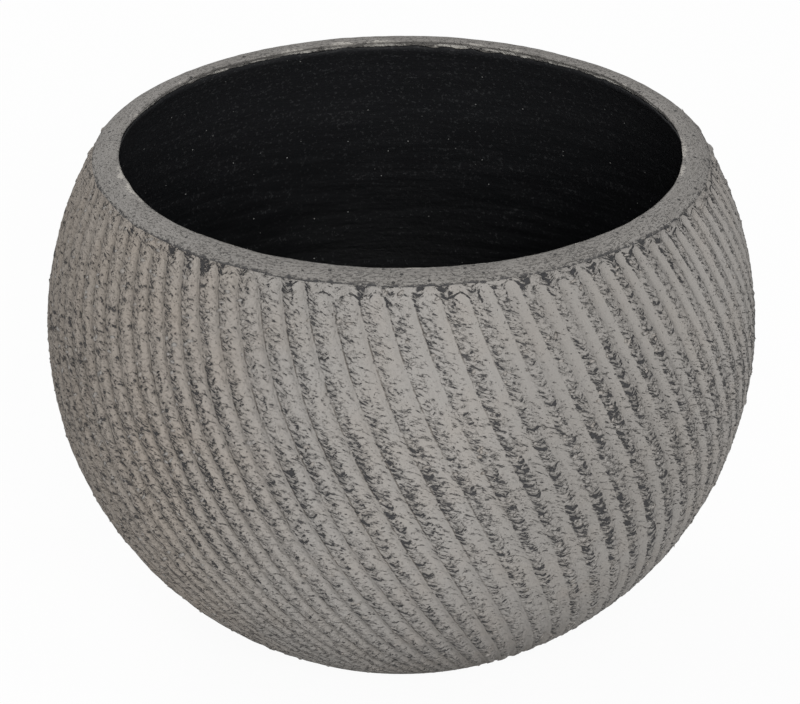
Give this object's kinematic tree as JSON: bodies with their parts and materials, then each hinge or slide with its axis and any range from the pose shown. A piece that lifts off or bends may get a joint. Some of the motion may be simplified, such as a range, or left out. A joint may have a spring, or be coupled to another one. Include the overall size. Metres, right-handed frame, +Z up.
{
  "type": "flower pot",
  "caption": "Round fibre-clay flower pot with slanting ribs all over its belly, a smooth rounded rim, a black sealed inside and a rubber drain plug.",
  "frame": {"origin": "on the ground under the middle of the base", "axes": "+Z up along the pot's axis; -Y is the side that faces the viewer in the picture"},
  "size_m": [0.3999, 0.3999, 0.2834],
  "materials": {
    "ribbed_clay": "matt grey clay, brushed dark and wiped off the high places",
    "trowelled_clay": "matt grey clay, trowelled smooth, with pinholes",
    "fibre_mat": "chopped glass fibre soaked in clay slip",
    "raw_clay": "raw matt clay",
    "black_sealer": "brushed black sealing coat, satin",
    "plug_rubber": "moulded black rubber"
  },
  "bodies": {
    "pot": {"ribbed_shell": "ribbed_clay", "rim_band": "trowelled_clay", "glass_fibre_mat": "fibre_mat", "backing_layer": "raw_clay", "black_lining": "black_sealer"},
    "plug": {"drain_plug": "plug_rubber"}
  },
  "joints": [
    {"name": "drain_plug_pull", "type": "slide", "parent": "pot", "child": "plug", "axis": [0, 0, 1], "range_m": [0, 0.29]}
  ]
}
